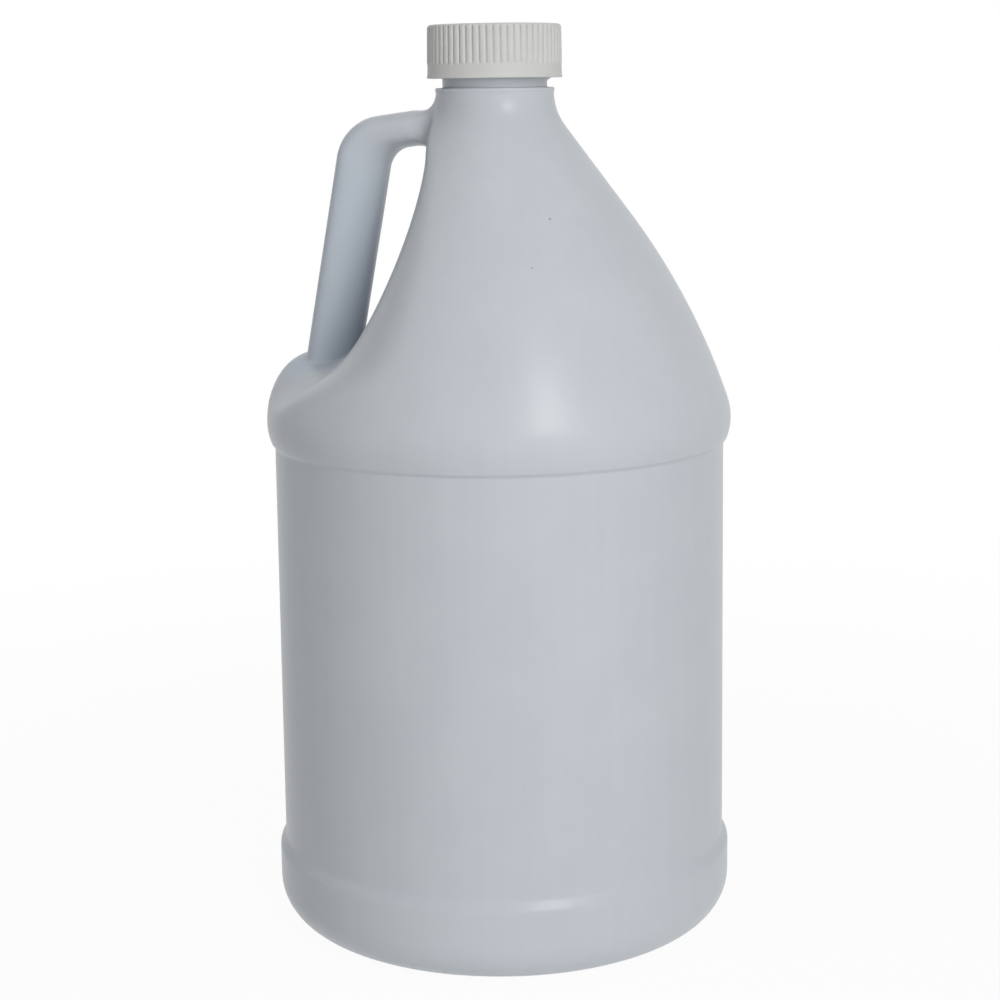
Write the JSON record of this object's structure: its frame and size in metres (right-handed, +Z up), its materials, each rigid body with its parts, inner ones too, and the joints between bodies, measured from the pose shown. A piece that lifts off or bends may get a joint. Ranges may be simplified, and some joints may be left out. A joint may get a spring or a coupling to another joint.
{
  "type": "plastic jug",
  "caption": "Round plastic jug with a hollow handle moulded into its sloping shoulder, raised rings at shoulder and foot, and a ribbed screw cap on a narrow neck.",
  "frame": {"origin": "centre of the jug's base, on the floor plane", "axes": "+Z up along the jug's axis, -X towards the handle"},
  "size_m": [0.1586, 0.1586, 0.3075],
  "materials": {
    "jug_plastic": "satin, faintly mottled polyethylene",
    "cap_plastic": "satin",
    "liner_foam": "matt foam"
  },
  "bodies": {
    "jug_body": {"jug": "jug_plastic"},
    "lift": {"cap_liner": "liner_foam"},
    "screw_cap": {"cap": "cap_plastic"}
  },
  "joints": [
    {"name": "cap_lift", "type": "slide", "parent": "jug_body", "child": "lift", "axis": [0, 0, 1], "range_m": [0, 0.017]},
    {"name": "cap_turn", "type": "hinge", "parent": "lift", "child": "screw_cap", "pos_m": [0, 0, 0.3], "axis": [0, 0, 1], "range_deg": [0, 1440]}
  ],
  "couplings": [
    {"joint": "cap_lift", "follows": "cap_turn", "m_per_rad": 0.00067375}
  ]
}
